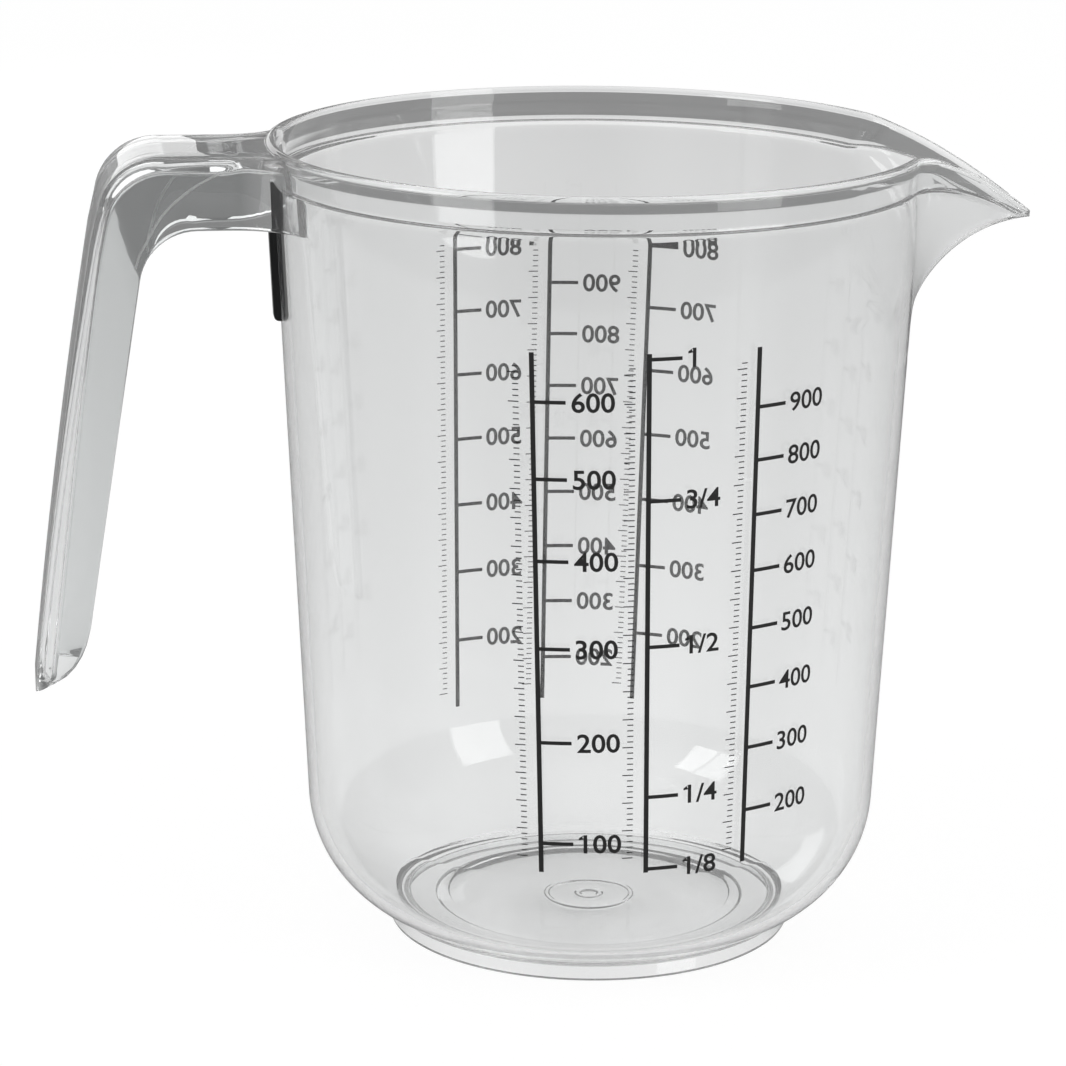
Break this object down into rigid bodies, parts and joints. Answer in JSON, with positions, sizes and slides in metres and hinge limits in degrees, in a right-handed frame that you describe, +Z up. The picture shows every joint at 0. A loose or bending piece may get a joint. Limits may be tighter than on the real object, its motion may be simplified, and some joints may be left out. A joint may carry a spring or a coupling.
{
  "type": "measuring jug",
  "caption": "Clear plastic measuring jug with a beak spout, an open-ended channel handle and printed scales for litres, millilitres and dry foods.",
  "frame": {"origin": "on the cup's axis, in the plane of the foot ring's lower face, which the jug stands on", "axes": "+Z up along the cup's axis, +X from the axis towards the spout's tip (the handle is at -X), +Y to the side that carries the semolina, millilitre and rice scales"},
  "size_m": [0.1854, 0.1216, 0.15],
  "materials": {
    "clear_plastic": "clear, polished, faintly grey",
    "dark_rib": "gloss",
    "scale_ink": "printed ink, satin"
  },
  "bodies": {
    "root": {"cup": "clear_plastic", "foot_ring": "clear_plastic", "rim_collar": "clear_plastic", "spout": "clear_plastic", "handle": "clear_plastic", "handle_rib": "dark_rib", "flour_scale": "scale_ink", "litre_scale": "scale_ink", "sugar_scale": "scale_ink", "semolina_scale": "scale_ink", "millilitre_scale": "scale_ink", "rice_scale": "scale_ink"}
  },
  "joints": []
}
